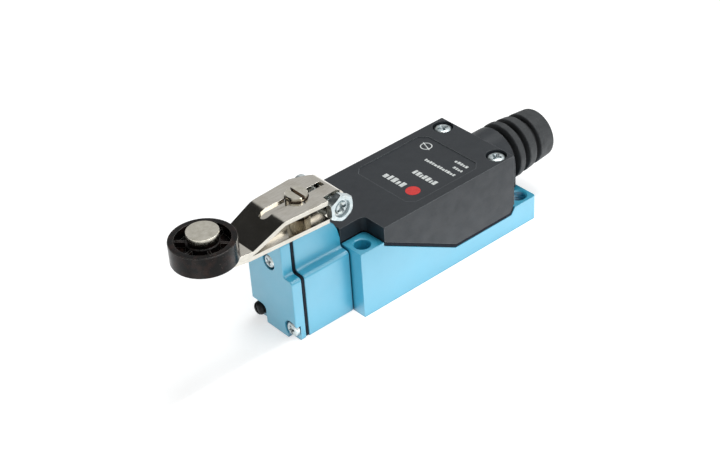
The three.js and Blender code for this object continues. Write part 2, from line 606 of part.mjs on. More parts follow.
mechanism.add(
  meshOf('head_body', headBody(), bluePaint),
  meshOf('head_gasket', headGasket(), sealRubber),
  meshOf('head_cap', headCap(), bluePaint),
  meshOf('cap_screw_top', capScrew('cap_screw_top'), zinc),
  meshOf('cap_screw_near', capScrew('cap_screw_near'), zinc),
  meshOf('cap_screw_far', capScrew('cap_screw_far'), blackSteel),
  meshOf('head_seal', headSeal(), sealRubber),
  meshOf('lever_shaft', leverShaft(), steel),
  meshOf('shaft_bush', shaftBush(), brass),
  meshOf('shaft_seal', shaftSeal(), sealRubber),
  meshOf('shaft_cam', shaftCam(), steel),
  meshOf('plunger', plunger(), steel),
  meshOf('return_spring', springX(-24.4, -20.3, 0, CHAIN_Z, 2.7, 0.3, 3.5), steel),
  meshOf('lever_arm', leverArm(), nickelSheet),
  meshOf('clamp_bolt', clampBolt(), zinc),
  meshOf('clamp_nut', clampNut(), zinc),
  meshOf('roller_rivet', rollerRivet(), steel),
  meshOf('roller', roller(), glossPlastic),
  meshOf('switch_case', switchCase(), bakelite),
  meshOf('switch_lid', switchLid(), bakelite),
  meshOf('switch_button', switchButton(), whitePlastic),
  meshOf('contact_bridge', contactBridge(), brass),
  meshOf('contact_spring', springX(-11.8, -5.9, 0, CHAIN_Z, 1.9, 0.25, 4), steel),
);

for (const [side, label] of [[-1, 'near'], [1, 'far']]) {
  const screw = upright({ ...CASE_SCREW, y: side * CASE_SCREW.y }, CASE.z1 + GAP, 1.3);
  mechanism.add(meshOf(`switch_screw_${label}`, screw, zinc));
}

TERMINALS.forEach(([x, y], i) => {
  const seat = TERMINAL.z0 + TERMINAL.thickness + GAP;
  const screw = upright({ ...TERMINAL_SCREW, x, y }, seat, 1.4);
  mechanism.add(
    meshOf(`terminal_${i + 1}`, terminalPlate(x, y), brass),
    meshOf(`terminal_screw_${i + 1}`, screw, zinc),
  );
});

export default group;
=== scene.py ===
"""The looks of the limit switch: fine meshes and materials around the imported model.

Solids are built in millimetres in the frame of the CAD model, and become pieces in metres.
"""
import json
import math

import bmesh
import bpy
from mathutils import Matrix, Vector


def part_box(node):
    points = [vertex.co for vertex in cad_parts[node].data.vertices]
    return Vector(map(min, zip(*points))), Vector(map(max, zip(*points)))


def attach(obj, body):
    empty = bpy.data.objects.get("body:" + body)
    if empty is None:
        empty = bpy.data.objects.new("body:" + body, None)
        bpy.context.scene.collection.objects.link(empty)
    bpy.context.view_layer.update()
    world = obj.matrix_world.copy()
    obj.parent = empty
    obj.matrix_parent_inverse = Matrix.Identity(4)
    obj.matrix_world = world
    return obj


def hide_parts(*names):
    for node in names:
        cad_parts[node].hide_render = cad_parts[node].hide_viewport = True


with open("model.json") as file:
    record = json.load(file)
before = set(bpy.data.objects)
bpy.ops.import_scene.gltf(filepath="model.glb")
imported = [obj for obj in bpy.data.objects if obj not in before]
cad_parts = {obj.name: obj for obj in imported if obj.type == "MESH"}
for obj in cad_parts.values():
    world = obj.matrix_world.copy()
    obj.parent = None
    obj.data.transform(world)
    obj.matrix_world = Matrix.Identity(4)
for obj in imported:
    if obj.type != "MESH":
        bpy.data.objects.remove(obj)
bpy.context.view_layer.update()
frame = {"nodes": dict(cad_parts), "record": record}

MM = 0.001
scene = bpy.context.scene


# ---------------------------------------------------------------- solids
def place(axis, a, b, along):
    """A point whose two coordinates across the axis are a and b."""
    return {"X": (along, a, b), "Y": (a, along, b), "Z": (a, b, along)}[axis]


def as_object(mesh):
    bmesh.ops.recalc_face_normals(mesh, faces=mesh.faces)
    data = bpy.data.meshes.new("work")
    mesh.to_mesh(data)
    mesh.free()
    body = bpy.data.objects.new("work", data)
    scene.collection.objects.link(body)
    return body


def prism(outline, axis, low, high):
    """An outline in the plane across the axis, extruded from low to high."""
    mesh = bmesh.new()
    floor = mesh.faces.new([mesh.verts.new(place(axis, a, b, low)) for a, b in outline])
    grown = bmesh.ops.extrude_face_region(mesh, geom=[floor])["geom"]
    moved = [v for v in grown if isinstance(v, bmesh.types.BMVert)]
    bmesh.ops.translate(mesh, verts=moved, vec=place(axis, 0, 0, high - low))
    return as_object(mesh)


def box(x0, x1, y0, y1, z0, z1):
    return prism([(x0, y0), (x1, y0), (x1, y1), (x0, y1)], "Z", z0, z1)


def lathe(profile, axis, centre, sides=64):
    """Revolves (along, radius) points about a line; the profile ends on the line or closes on itself."""
    mesh = bmesh.new()
    rings = []
    for along, radius in profile:
        count = sides if radius > 0 else 1
        turns = [2 * math.pi * k / sides for k in range(count)]
        rings.append([
            mesh.verts.new(place(
                axis, centre[0] + radius * math.cos(t), centre[1] + radius * math.sin(t), along))
            for t in turns])
    closed = profile[0][1] > 0 and profile[-1][1] > 0
    following = rings[1:] + rings[:1] if closed else rings[1:]
    for lower, upper in zip(rings, following):
        for k in range(sides):
            ring = [lower[k % len(lower)], lower[(k + 1) % len(lower)],
                    upper[(k + 1) % len(upper)], upper[k % len(upper)]]
            mesh.faces.new(list(dict.fromkeys(ring)))
    return as_object(mesh)


def cylinder(axis, centre, radius, low, high, sides=64):
    return lathe([(low, 0), (low, radius), (high, radius), (high, 0)], axis, centre, sides)


def rounded(corners, steps=8):
    """An outline whose corners, given as (a, b, radius), are rounded with arcs."""
    outline = []
    for i, (a, b, radius) in enumerate(corners):
        here = Vector((a, b))
        if radius == 0:
            outline.append((a, b))
            continue
        back = (Vector(corners[i - 1][:2]) - here).normalized()
        ahead = (Vector(corners[(i + 1) % len(corners)][:2]) - here).normalized()
        half = back.angle(ahead) / 2
        centre = here + (back + ahead).normalized() * radius / math.sin(half)
        start = here + back * radius / math.tan(half) - centre
        end = here + ahead * radius / math.tan(half) - centre
        sweep = math.copysign(math.pi - 2 * half, start.x * end.y - start.y * end.x)
        for k in range(steps + 1):
            outline.append(tuple(centre + Matrix.Rotation(sweep * k / steps, 2) @ start))
    return outline


def rectangle(a0, a1, b0, b1, radius):
    return rounded([(a0, b0, radius), (a1, b0, radius), (a1, b1, radius), (a0, b1, radius)])


def bake(body):
    """Replaces a body's mesh by what its modifiers make of it."""
    bpy.context.view_layer.update()
    old = body.data
    body.data = bpy.data.meshes.new_from_object(body.evaluated_get(bpy.context.evaluated_depsgraph_get()))
    body.modifiers.clear()
    bpy.data.meshes.remove(old)
    return body


def combine(body, operation, tools):
    for tool in tools:
        modifier = body.modifiers.new("combine", "BOOLEAN")
        modifier.object = tool
        modifier.operation = operation
        modifier.solver = "MANIFOLD"
        bake(body)
        bpy.data.objects.remove(tool)
    return body


def cut(body, *tools):
    return combine(body, "DIFFERENCE", tools)


def join(body, *tools):
    return combine(body, "UNION", tools)


def meet(body, *tools):
    return combine(body, "INTERSECT", tools)


def moved(body, matrix):
    body.data.transform(matrix)
    return body


def tidy(body):
    """Merges doubled points and flat neighbouring faces, so that only real edges are left."""
    mesh = bmesh.new()
    mesh.from_mesh(body.data)
    bmesh.ops.remove_doubles(mesh, verts=mesh.verts, dist=1e-3)
    bmesh.ops.dissolve_limit(mesh, angle_limit=math.radians(0.4), verts=mesh.verts, edges=mesh.edges)
    mesh.to_mesh(body.data)
    mesh.free()
    return body


def soften(body, width, angle=35, steps=3):
    """Rounds every edge sharper than the angle."""
    tidy(body)
    modifier = body.modifiers.new("soften", "BEVEL")
    modifier.width = width
    modifier.segments = steps
    modifier.limit_method = "ANGLE"
    modifier.angle_limit = math.radians(angle)
    modifier.use_clamp_overlap = True
    modifier.miter_outer = "MITER_ARC"
    return bake(body)


def piece(name, body, surface, stands_for, rides="housing", sharp=35):
    """Makes a solid in millimetres a finished piece in metres, riding on a body of the model."""
    body.name = name
    body.data.name = name
    body.data.transform(Matrix.Scale(MM, 4))
    body.data.materials.clear()
    body.data.materials.append(SURFACES[surface])
    body.data.shade_smooth()
    body.data.set_sharp_from_angle(angle=math.radians(sharp))
    weighted = body.modifiers.new("normals", "WEIGHTED_NORMAL")
    weighted.keep_sharp = True
    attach(body, rides)
    if stands_for:
        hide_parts(*stands_for)
    return body


# ---------------------------------------------------------------- materials
def tone(red, green, blue):
    """A linear colour from screen values of 0 to 255."""
    def linear(value):
        share = value / 255
        return share / 12.92 if share <= 0.04045 else ((share + 0.055) / 1.055) ** 2.4
    return (linear(red), linear(green), linear(blue), 1)


class Surface:
    """A Principled material under construction, patterned in the model's own space."""

    def __init__(self, name, roughness, metallic=0.0, **sockets):
        self.material = bpy.data.materials.new(name)
        self.material.use_nodes = True
        self.nodes = self.material.node_tree.nodes
        self.links = self.material.node_tree.links
        self.shader = self.nodes["Principled BSDF"]
        self.shader.inputs["Metallic"].default_value = metallic
        self.shader.inputs["Roughness"].default_value = roughness
        for socket, value in sockets.items():
            self.shader.inputs[socket.replace("_", " ")].default_value = value
        self.space = self.nodes.new("ShaderNodeTexCoord").outputs["Object"]

    def feed(self, socket, value):
        if isinstance(value, bpy.types.NodeSocket):
            self.links.new(value, socket)
        else:
            socket.default_value = value

    def spread(self, value, low, high, to_low=0.0, to_high=1.0):
        node = self.nodes.new("ShaderNodeMapRange")
        self.feed(node.inputs["Value"], value)
        for name, number in (("From Min", low), ("From Max", high), ("To Min", to_low), ("To Max", to_high)):
            node.inputs[name].default_value = number
        return node.outputs["Result"]

    def noise(self, size_mm, detail=3.0, low=0.3, high=0.7, stretch=(1, 1, 1)):
        """Smooth random patches of about the given size, from 0 to 1."""
        mapping = self.nodes.new("ShaderNodeMapping")
        mapping.inputs["Scale"].default_value = [1 / (size_mm * MM * s) for s in stretch]
        self.links.new(self.space, mapping.inputs["Vector"])
        node = self.nodes.new("ShaderNodeTexNoise")
        node.inputs["Scale"].default_value = 1
        node.inputs["Detail"].default_value = detail
        self.links.new(mapping.outputs["Vector"], node.inputs["Vector"])
        return self.spread(node.outputs["Fac"], low, high)

    def edges(self, radius_mm, low=0.02, high=0.25):
        """Near 1 along convex and concave edges, and 0 on flat stretches."""
        bevel = self.nodes.new("ShaderNodeBevel")
        bevel.samples = 6
        bevel.inputs["Radius"].default_value = radius_mm * MM
        geometry = self.nodes.new("ShaderNodeNewGeometry")
        dot = self.nodes.new("ShaderNodeVectorMath")
        dot.operation = "DOT_PRODUCT"
        self.links.new(bevel.outputs["Normal"], dot.inputs[0])
        self.links.new(geometry.outputs["True Normal"], dot.inputs[1])
        return self.spread(dot.outputs["Value"], 1 - low, 1 - high)

    def shade_in_hollows(self, reach_mm, low=0.15, high=0.85):
        """Near 1 deep in gaps and recesses, and 0 where a surface is open; a mask for painting shade."""
        node = self.nodes.new("ShaderNodeAmbientOcclusion")
        node.samples = 12
        node.inputs["Distance"].default_value = reach_mm * MM
        return self.spread(node.outputs["AO"], high, low)

    def math(self, operation, a, b):
        node = self.nodes.new("ShaderNodeMath")
        node.operation = operation
        node.use_clamp = True
        self.feed(node.inputs[0], a)
        self.feed(node.inputs[1], b)
        return node.outputs["Value"]

    def mix(self, share, a, b):
        node = self.nodes.new("ShaderNodeMix")
        node.data_type = "RGBA"
        self.feed(node.inputs[0], share)
        self.feed(node.inputs[6], a)
        self.feed(node.inputs[7], b)
        return node.outputs[2]

    def bump(self, height, strength, distance_mm):
        node = self.nodes.new("ShaderNodeBump")
        node.inputs["Strength"].default_value = strength
        node.inputs["Distance"].default_value = distance_mm * MM
        self.links.new(height, node.inputs["Height"])
        self.links.new(node.outputs["Normal"], self.shader.inputs["Normal"])

    def finish(self, colour, roughness=None):
        self.links.new(colour, self.shader.inputs["Base Color"])
        if roughness is not None:
            self.links.new(roughness, self.shader.inputs["Roughness"])
        return self.material


def blue_paint():
    """Glossy enamel on a die casting, a little thinner along its edges, where it is lighter partly from wear
    and partly from a painted highlight; painted shade darkens its recesses.
    """
    s = Surface("blue_paint", 0.4, Specular_IOR_Level=0.6, Coat_Weight=1.0, Coat_Roughness=0.34, Coat_IOR=1.68)
    body = s.mix(s.noise(9), tone(34, 154, 186), tone(44, 160, 192))
    specks = s.math("MULTIPLY", s.noise(0.5, 2, 0.66, 0.74), 0.3)
    body = s.mix(specks, body, tone(26, 134, 170))
    # lighter along the edges: partly wear, partly a painted highlight in the colour of the lit side
    wear_and_painted_highlight = s.math("MULTIPLY", s.edges(0.35), s.noise(1.5, 4, 0.35, 0.6))
    body = s.mix(s.math("MULTIPLY", wear_and_painted_highlight, 0.35), body, tone(172, 218, 236))
    # painted shade: dark blue in recesses and corners, from the ambient-occlusion mask
    body = s.mix(s.math("MULTIPLY", s.shade_in_hollows(3, 0.2, 0.62), 0.85), body, tone(8, 62, 96))
    s.bump(s.noise(0.9, 3, 0.2, 0.8), 0.12, 0.05)
    return s.finish(body, s.spread(s.noise(4), 0, 1, 0.34, 0.46))


def black_plastic():
    """Moulded cover with a fine spark-eroded grain, lighter along its edges, partly from wear and partly as a
    painted highlight.
    """
    s = Surface("black_plastic", 0.5, Specular_IOR_Level=0.38)
    body = s.mix(s.noise(7), tone(24, 30, 36), tone(30, 36, 42))
    grain = s.noise(0.18, 2, 0.3, 0.7)
    body = s.mix(s.math("MULTIPLY", grain, 0.25), body, tone(58, 62, 65))
    # lighter along the edges: partly wear, partly a painted highlight line
    wear_and_painted_highlight = s.math("MULTIPLY", s.edges(0.3, 0.01, 0.16), s.noise(1.2, 4, 0.1, 0.5))
    body = s.mix(s.math("MULTIPLY", wear_and_painted_highlight, 0.55), body, tone(124, 129, 132))
    s.bump(grain, 0.22, 0.03)
    return s.finish(body, s.spread(s.noise(3), 0, 1, 0.42, 0.56))


def gloss_plastic():
    """Glossy moulding with faint brown patches and handling specks, and a painted highlight along its edges and
    rims.
    """
    s = Surface("gloss_plastic", 0.2, Specular_IOR_Level=0.16)
    body = s.mix(s.noise(2.2, 5, 0.45, 0.75), tone(12, 12, 12), tone(42, 28, 24))
    specks = s.noise(0.35, 2, 0.68, 0.74)
    body = s.mix(s.math("MULTIPLY", specks, 0.5), body, tone(92, 78, 72))
    # painted highlight along edges and rims, in patches
    painted_edge_highlight = s.math("MULTIPLY", s.edges(0.22, 0.01, 0.15), s.noise(0.9, 4, 0.15, 0.5))
    body = s.mix(s.math("MULTIPLY", painted_edge_highlight, 0.7), body, tone(128, 126, 122))
    s.bump(s.noise(0.6, 3), 0.08, 0.02)
    return s.finish(body, s.spread(s.noise(1.4, 5), 0, 1, 0.14, 0.3))


def nickel_sheet():
    """Nickel-plated strip, faintly brushed along its length and stained, with painted shade between its leaves.
    """
    s = Surface("nickel_sheet", 0.14, metallic=1.0)
    brushed = s.noise(0.25, 3, 0.3, 0.7, stretch=(14, 1, 1))
    body = s.mix(brushed, tone(208, 204, 194), tone(224, 220, 211))
    body = s.mix(s.math("MULTIPLY", s.noise(5, 5, 0.5, 0.75), 0.5), body, tone(180, 172, 154))
    # painted shade, brownish, in the gaps and between the leaves of the strap
    body = s.mix(s.math("MULTIPLY", s.shade_in_hollows(6, 0.1, 0.6), 0.6), body, tone(92, 80, 62))
    s.bump(brushed, 0.05, 0.01)
    return s.finish(body, s.spread(s.noise(2.5, 4), 0, 1, 0.1, 0.2))


def zinc():
    """Bright zinc plate with cool and faintly yellow patches, and painted shade in its recesses."""
    s = Surface("zinc", 0.35, metallic=1.0)
    body = s.mix(s.noise(0.9, 3), tone(182, 196, 200), tone(214, 221, 221))
    body = s.mix(s.math("MULTIPLY", s.noise(1.6, 4, 0.55, 0.75), 0.4), body, tone(170, 166, 138))
    # painted shade in recesses, such as the dish and cross recess of a head
    body = s.mix(s.math("MULTIPLY", s.shade_in_hollows(1.2, 0.25, 0.9), 0.35), body, tone(62, 70, 76))
    s.bump(s.noise(0.3, 3), 0.12, 0.02)
    return s.finish(body, s.spread(s.noise(0.7, 4), 0, 1, 0.26, 0.46))


def steel():
    """Satin turned steel with painted brown shade in its grooves."""
    s = Surface("steel", 0.25, metallic=1.0)
    body = s.mix(s.noise(1.5, 4), tone(204, 200, 186), tone(226, 222, 210))
    # painted shade, tinted brown, in grooves and between parts; the next line paints a darker shade in the
    # finest crevices
    body = s.mix(s.math("MULTIPLY", s.shade_in_hollows(2.5, 0.15, 0.75), 0.7), body, tone(128, 92, 64))
    body = s.mix(s.math("MULTIPLY", s.shade_in_hollows(0.4, 0.3, 0.8), 0.7), body, tone(62, 42, 28))
    s.bump(s.noise(0.2, 2), 0.08, 0.01)
    return s.finish(body, s.spread(s.noise(1.1, 3), 0, 1, 0.15, 0.26))


def black_steel():
    """Black oxide on steel."""
    s = Surface("black_steel", 0.4, metallic=0.7)
    body = s.mix(s.noise(0.8, 3), tone(22, 24, 26), tone(44, 46, 48))
    s.bump(s.noise(0.25, 2), 0.15, 0.02)
    return s.finish(body, s.spread(s.noise(0.6, 3), 0, 1, 0.3, 0.5))


def rubber():
    """Matt black rubber with a trace of dust on it."""
    s = Surface("rubber", 0.72)
    body = s.mix(s.noise(3), tone(44, 47, 49), tone(54, 57, 59))
    dust = s.math("MULTIPLY", s.noise(0.5, 5, 0.5, 0.85), 0.4)
    body = s.mix(dust, body, tone(88, 92, 92))
    # painted shade, near black, in grooves and gaps
    body = s.mix(s.math("MULTIPLY", s.shade_in_hollows(2.5, 0.25, 0.75), 0.9), body, tone(5, 6, 7))
    s.bump(s.noise(0.3, 3), 0.2, 0.03)
    return s.finish(body, s.spread(s.noise(2), 0, 1, 0.6, 0.82))


def seal_rubber():
    """Dark sheet rubber."""
    s = Surface("seal_rubber", 0.8, Specular_IOR_Level=0.25)
    body = s.mix(s.noise(1.2), tone(9, 15, 26), tone(18, 26, 38))
    s.bump(s.noise(0.25, 2), 0.2, 0.02)
    return s.finish(body, s.spread(s.noise(1), 0, 1, 0.7, 0.9))


def brass():
    """Bare brass, slightly tarnished."""
    s = Surface("brass", 0.3, metallic=1.0)
    body = s.mix(s.noise(1.8, 4), tone(214, 176, 98), tone(190, 146, 74))
    s.bump(s.noise(0.3, 2), 0.08, 0.01)
    return s.finish(body, s.spread(s.noise(1.2, 3), 0, 1, 0.22, 0.42))


def bakelite():
    """Moulded thermoset with a fine mottle."""
    s = Surface("bakelite", 0.42)
    body = s.mix(s.noise(0.8, 5), tone(84, 42, 26), tone(116, 62, 38))
    s.bump(s.noise(0.4, 3), 0.1, 0.02)
    return s.finish(body, s.spread(s.noise(1.5, 3), 0, 1, 0.34, 0.5))


def white_plastic():
    """Natural moulded plastic."""
    s = Surface("white_plastic", 0.45)
    body = s.mix(s.noise(1.6, 3), tone(226, 222, 212), tone(214, 208, 196))
    s.bump(s.noise(0.4, 2), 0.08, 0.02)
    return s.finish(body, s.spread(s.noise(1.2), 0, 1, 0.38, 0.52))


def ink(name, light, dark):
    """Pad-printed ink, thin in places."""
    s = Surface(name, 0.5)
    body = s.mix(s.noise(0.5, 4, 0.35, 0.75), light, dark)
    s.bump(s.noise(0.15, 2), 0.1, 0.01)
    return s.finish(body, s.spread(s.noise(0.8), 0, 1, 0.42, 0.6))


SURFACES = {
    make.__name__: make()
    for make in (
        blue_paint, black_plastic, gloss_plastic, nickel_sheet, zinc, steel, black_steel,
        rubber, seal_rubber, brass, bakelite, white_plastic)
}
SURFACES["white_ink"] = ink("white_ink", tone(222, 226, 224), tone(168, 174, 174))
SURFACES["red_ink"] = ink("red_ink", tone(214, 42, 38), tone(188, 30, 30))


# ---------------------------------------------------------------- dimensions, in millimetres
def corners(node):
    low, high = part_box(node)
    return [value / MM for value in (*low, *high)]


X0, Y0, _, X1, Y1, EAR_TOP = corners("base_housing")
COVER_TOP = corners("cover")[5]
BOSS_X1 = corners("cover")[3]
COVER_X1 = 23.1
SEAM_HIGH = 19.2                  # parting line at the head end
SEAM_LOW = 5.5
SEAM_END = 7.5                    # fixing flange beyond the cover
SEAM_SPACE = 1.0
SLOPE_TOP_X = -24.3
SLOPE_FOOT_X = 1.06
STEP_FOOT_X = 22.0
STEP_TOP_X = 23.4
WALL = 2.2
EAR_X1 = -23.6
EAR_Y1 = -6.4
HOLE_X = 28.0
HOLE_Y = 10.5
HOLE_R = 2.15
TAP_R = 2.25
TAP_PITCH = 0.8
COVER_SCREW_X = 20.05
COVER_SCREW_Y = 10.4
COVER_SCREW_SEAT = COVER_TOP - 1.95
COVER_SINK_R = 2.88
PILLAR_R = 3.6                    # pillars inside the cover, round its screws
LABEL_FLOOR = COVER_TOP - 0.2     # sunk field of the cover
CAVITY = (-27.5, 16.2, 11.7, 3.0)  # x from, x to, half width, floor

MECHANISM_Y = -0.8                # centre plane of head, lever and snap switch
HEAD_X0, _, _, HEAD_X1, _, HEAD_TOP = corners("head_body")
CAP_X0, _, _, CAP_X1, _, _ = corners("head_cap")
HEAD_HALF = 8.97
TOWER_HALF = 5.7
SHOULDER = 19.2
CHAIN_Z = 11.0                    # centre line of plunger and switch button
CHAIN_BORE_R = 2.2

SHAFT_X = -40.1
SHAFT_R = 3.0
SHAFT_TOP = corners("lever_shaft")[5]
LEVER_LOW = corners("lever_arm")[2]
LEVER_TOP = corners("lever_arm")[5]
SHEET = 1.2
BEND_X = -32.05
KNEE_X = -49.3
TOE_X = -59.1
JOINED = 31.8                     # top of the single leaf under the roller
NECK_X = -60.0
NECK_HALF = 5.95
LEVER_RADIUS = 29.0
ROLLER_X = SHAFT_X - LEVER_RADIUS
BOLT_X = -32.45
BOLT_Z = 32.55
GLAND_Z = 15.4
GLAND_BORE_R = 5.3
BOSS_R = 8.2                      # gland boss of the cover
BOSS_LOW = 7.8


# ---------------------------------------------------------------- housing
def seam_line(offset):
    """The parting line raised by the offset; its corners slide so that the sloping runs stay parallel."""
    fall = math.atan((SEAM_HIGH - SEAM_LOW) / (SLOPE_FOOT_X - SLOPE_TOP_X))
    rise = math.atan((SEAM_END - SEAM_LOW) / (STEP_TOP_X - STEP_FOOT_X))
    slope_shift = offset * math.tan(fall / 2)
    step_shift = -offset * math.tan(rise / 2)
    return [
        (X0 - 1, SEAM_HIGH + offset), (SLOPE_TOP_X + slope_shift, SEAM_HIGH + offset),
        (SLOPE_FOOT_X + slope_shift, SEAM_LOW + offset), (STEP_FOOT_X + step_shift, SEAM_LOW + offset),
        (STEP_TOP_X + step_shift, SEAM_END + offset), (X1 + 1, SEAM_END + offset)]


def below_seam(offset):
    return prism([(X0 - 1, -1), *seam_line(offset), (X1 + 1, -1)], "Y", Y0 - 1, Y1 + 1)


def ear_pillar(clearance):
    """The space over the ear that the cover leaves free, grown by the clearance."""
    outline = rounded([
        (X0 - 3, Y0 - 3, 0), (EAR_X1 + clearance, Y0 - 3, 0),
        (EAR_X1 + clearance, EAR_Y1 + clearance, 1.4), (X0 - 3, EAR_Y1 + clearance, 0)])
    return prism(outline, "Z", -1, 30)


def tapped_hole(x, y, depth_to, top):
    """A cutter with the ridges of a coarse thread and a countersunk mouth."""
    profile = [(depth_to, 0), (depth_to, TAP_R - 0.1)]
    turns = int((top - depth_to - 0.6) / TAP_PITCH)
    for k in range(turns):
        start = depth_to + 0.1 + k * TAP_PITCH
        profile += [(start, TAP_R - 0.12), (start + TAP_PITCH / 2, TAP_R + 0.22)]
    profile += [(top - 0.35, TAP_R - 0.05), (top, TAP_R + 0.35), (top + 1, TAP_R + 0.35), (top + 1, 0)]
    return lathe(profile, "Z", (x, y), 48)


def plain_hole(x, y, low, top, radius):
    """A cutter with a small rounding at its mouth."""
    edge = 0.35
    profile = [(low, 0), (low, radius)]
    for k in range(5):
        turn = math.pi / 2 * k / 4
        profile.append((top - edge + edge * math.sin(turn), radius + edge * (1 - math.cos(turn))))
    profile += [(top + 1, radius + edge), (top + 1, 0)]
    return lathe(profile, "Z", (x, y), 64)


def base_housing():
    plan = rounded([(X0, Y0, 0), (X1, Y0, 0.9), (X1, Y1, 0.9), (X0, Y1, 0)])
    slab = meet(prism(plan, "Z", 0, COVER_TOP), below_seam(0))
    ear = meet(prism(plan, "Z", 0, EAR_TOP), ear_pillar(0))
    x0, x1, half, floor = CAVITY
    cavity = cut(prism(rectangle(x0, x1, -half, half, 1.5), "Z", floor, 30), ear_pillar(WALL))
    body = soften(join(slab, ear), 0.45)
    body = cut(body, cavity)
    body = cut(
        body,
        plain_hole(-HOLE_X, -HOLE_Y, -1, EAR_TOP, HOLE_R), plain_hole(HOLE_X, HOLE_Y, -1, SEAM_END, HOLE_R),
        tapped_hole(HOLE_X, -HOLE_Y, -1, SEAM_END), cylinder("Z", (-HOLE_X, HOLE_Y), TAP_R, -1, 10),
        cylinder("X", (MECHANISM_Y, CHAIN_Z), CHAIN_BORE_R, X0 - 1, x0 + 1))
    return body


def cover_plan(inset, low, high):
    outline = rectangle(X0 + inset, COVER_X1 - inset, Y0 + inset, Y1 - inset, 0)
    return cut(prism(outline, "Z", low, high), ear_pillar(0.2 + inset))


def label_outline():
    """The sunk field of the cover, with its four corners cut."""
    x0, x1, y0, y1, corner = -11.5, 13.8, -11.1, 11.5, 2.0
    return [
        (x0 + corner, y0), (x1 - corner, y0), (x1, y0 + corner), (x1, y1 - corner),
        (x1 - corner, y1), (x0 + corner, y1), (x0, y1 - corner), (x0, y0 + corner)]


def gland_boss():
    """Arched block that stands on the fixing flange and carries the cable gland."""
    arch = [
        (BOSS_R * math.cos(t), GLAND_Z + BOSS_R * math.sin(t))
        for t in [math.pi * k / 32 for k in range(33)]]
    foot = rounded([
        (-BOSS_R, GLAND_Z, 0), (-BOSS_R, BOSS_LOW, 1.2), (BOSS_R, BOSS_LOW, 1.2), (BOSS_R, GLAND_Z, 0)])
    block = prism(arch + foot[1:-1], "X", COVER_X1 - 1, BOSS_X1)
    beside_seam = box(COVER_X1 - 2, COVER_X1 + 0.15, -BOSS_R - 1, BOSS_R + 1, 0, SEAM_END + SEAM_SPACE)
    return soften(cut(block, beside_seam), 0.3)


def cover():
    ceiling = COVER_TOP - 2
    body = soften(cut(cover_plan(0, 0, COVER_TOP), below_seam(SEAM_SPACE)), 0.35)
    hollow = cover_plan(WALL, -1, ceiling)
    for side in (-1, 1):
        hollow = cut(hollow, cylinder("Z", (COVER_SCREW_X, side * COVER_SCREW_Y), PILLAR_R, -2, ceiling + 1))
    body = cut(body, hollow, prism(label_outline(), "Z", LABEL_FLOOR, COVER_TOP + 1))
    body = join(body, gland_boss())
    for side in (-1, 1):
        centre = (COVER_SCREW_X, side * COVER_SCREW_Y)
        sink = lathe([
            (0, 0), (0, 1.8), (COVER_SCREW_SEAT, 1.8), (COVER_SCREW_SEAT, COVER_SINK_R),
            (COVER_TOP - 0.1, COVER_SINK_R), (COVER_TOP, COVER_SINK_R + 0.1),
            (COVER_TOP + 1, COVER_SINK_R + 0.1), (COVER_TOP + 1, 0)], "Z", centre, 64)
        body = cut(body, sink)
    return cut(body, cylinder("X", (0, GLAND_Z), GLAND_BORE_R, 15, BOSS_X1 + 1))


def pan_head(radius, height):
    """A domed screw head standing on its seat at 0."""
    profile = [(0, 0), (0, radius - 0.12), (0.12, radius)]
    shoulder = 0.5 * height
    for k in range(9):
        turn = math.pi / 2 * k / 8
        along = shoulder + (height - shoulder) * math.sin(turn)
        profile.append((along, radius * (0.42 + 0.58 * math.cos(turn))))
    profile.append((height, 0))
    return lathe(profile, "Z", (0, 0))


def cross_recess(radius, top, depth):
    """Cutter of a cross recess: two tapering blades and a pointed core."""
    blades = []
    for turned in (0, math.pi / 2):
        side = [(-radius, top + 1), (-radius, top), (-radius * 0.55, top - depth), (radius * 0.55, top - depth),
                (radius, top), (radius, top + 1)]
        blade = prism(side, "Y", -0.17 * radius - 0.12, 0.17 * radius + 0.12)
        blades.append(moved(blade, Matrix.Rotation(turned, 4, "Z")))
    core = lathe([(top - depth - 0.25, 0), (top, radius * 0.55), (top + 1, radius * 0.55), (top + 1, 0)],
                 "Z", (0, 0), 24)
    return join(blades[0], blades[1], core)


def slot_recess(radius, top, depth):
    return box(-radius - 1, radius + 1, -0.13 * radius - 0.1, 0.13 * radius + 0.1, top - depth, top + 1)


def screw(radius, height, shank_radius, shank_length, slotted=False, turned=0.0):
    """A pan head screw about the z axis, with its seat at 0."""
    head = join(pan_head(radius, height), cylinder("Z", (0, 0), shank_radius, -shank_length, 0.2, 32))
    if slotted:
        tool = slot_recess(radius, height, 0.5 * height)
    else:
        tool = cross_recess(radius * 0.62, height, height * 0.7)
    head = soften(cut(head, tool), 0.07, 40, 2)
    return moved(head, Matrix.Rotation(math.radians(turned), 4, "Z"))


def cover_screws():
    for side, name, turned in ((-1, "near", 20), (1, "far", 62)):
        body = screw(2.55, 1.5, 1.5, 20, turned=turned)
        body = moved(body, Matrix.Translation((COVER_SCREW_X, side * COVER_SCREW_Y, COVER_TOP - 1.8)))
        piece(f"screw_cover_{name}", body, "zinc", [f"cover_screw_{name}"])


# ---------------------------------------------------------------- print on the cover
PRINT = (LABEL_FLOOR - 0.1, LABEL_FLOOR + 0.03)


def bars(rows):
    """Rows of small blocks along Y, given as (x, height, start, gap, lengths)."""
    blocks = []
    for x, height, start, gap, lengths in rows:
        at = start
        for i, length in enumerate(lengths):
            drop = 0.22 * height if i % 3 == 1 else 0
            outline = rectangle(x, x + height - drop, at, at + length, 0.1)
            blocks.append(prism(outline, "Z", *PRINT))
            at += length + gap
    return join(*blocks)


